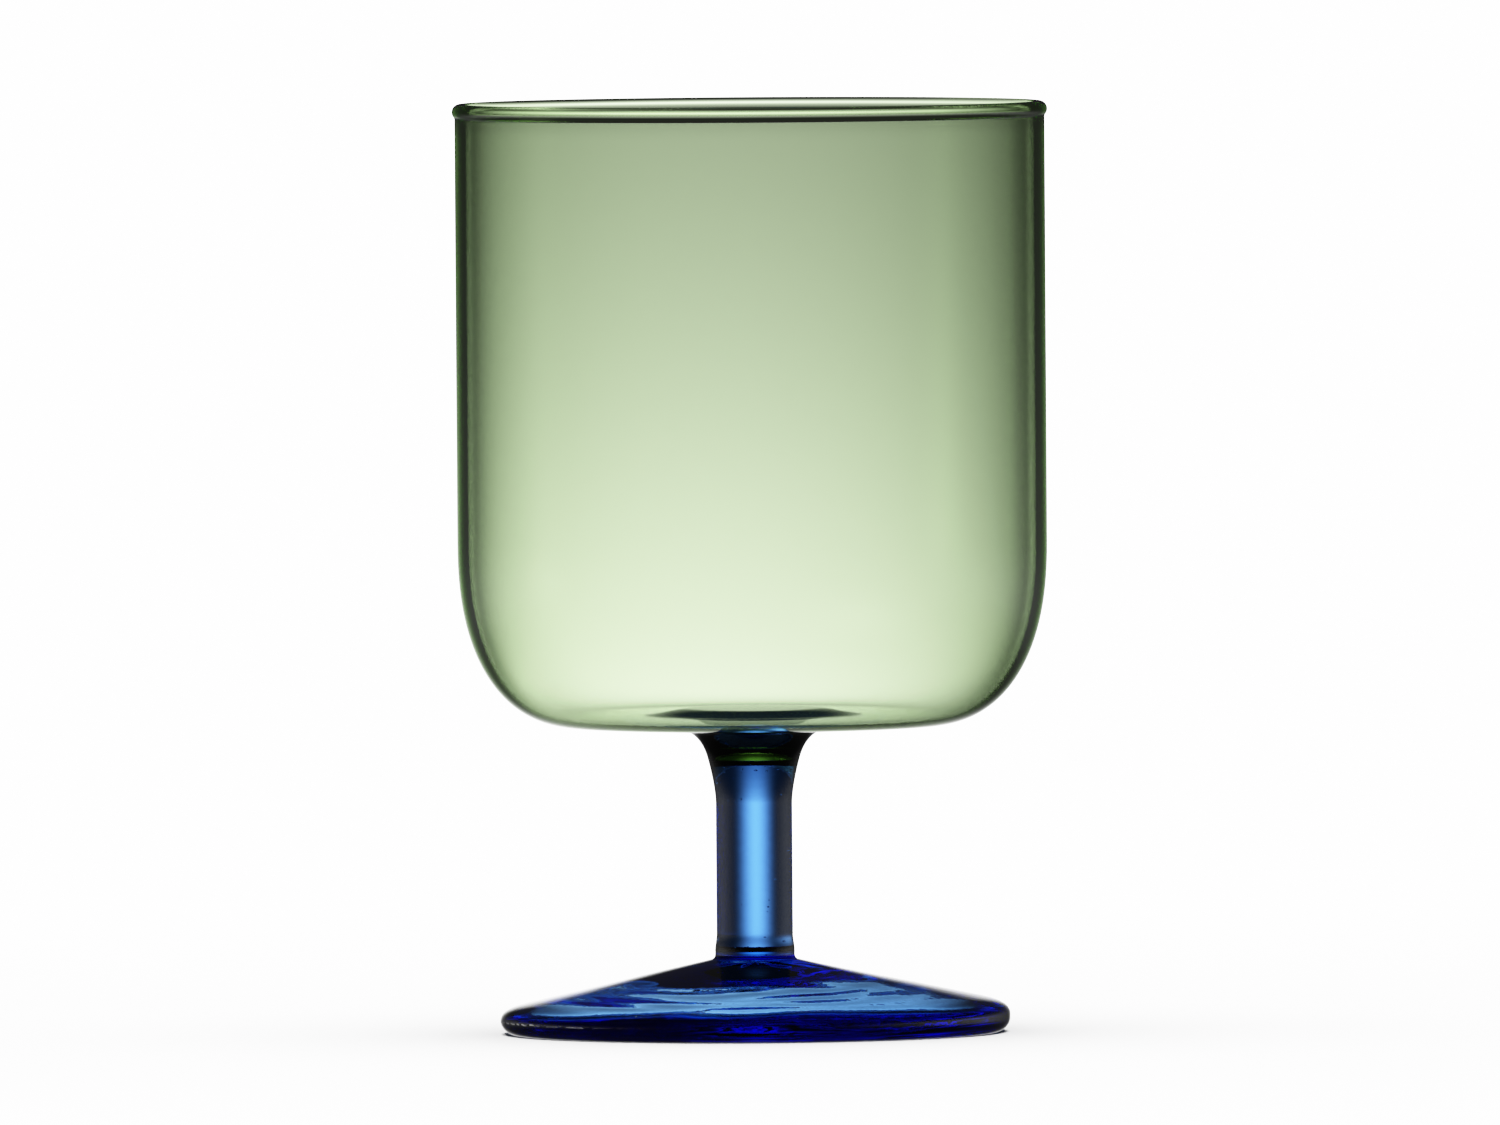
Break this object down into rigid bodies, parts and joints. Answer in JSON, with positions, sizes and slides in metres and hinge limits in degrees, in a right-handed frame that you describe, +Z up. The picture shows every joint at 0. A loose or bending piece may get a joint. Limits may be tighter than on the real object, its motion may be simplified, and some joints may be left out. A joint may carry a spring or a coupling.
{
  "type": "stemmed wine glass",
  "caption": "Low stemmed wine glass: thin straight-sided cylindrical bowl with a rounded base and beaded rim, flared collar, solid round stem and shallow conical foot.",
  "frame": {"origin": "on the glass's axis, in the plane the foot stands on", "axes": "+Z up along the axis of revolution; X and Y are equivalent"},
  "size_m": [0.0754, 0.0754, 0.118],
  "materials": {
    "bowl_glass": "clear green glass, fire-polished",
    "collar_glass": "dense olive green glass, fire-polished",
    "stem_glass": "clear azure blue glass, fire-polished",
    "foot_glass": "dense cobalt blue glass, slightly rippled, fire-polished"
  },
  "bodies": {
    "root": {"bowl": "bowl_glass", "collar": "collar_glass", "stem": "stem_glass", "foot": "foot_glass"}
  },
  "joints": []
}
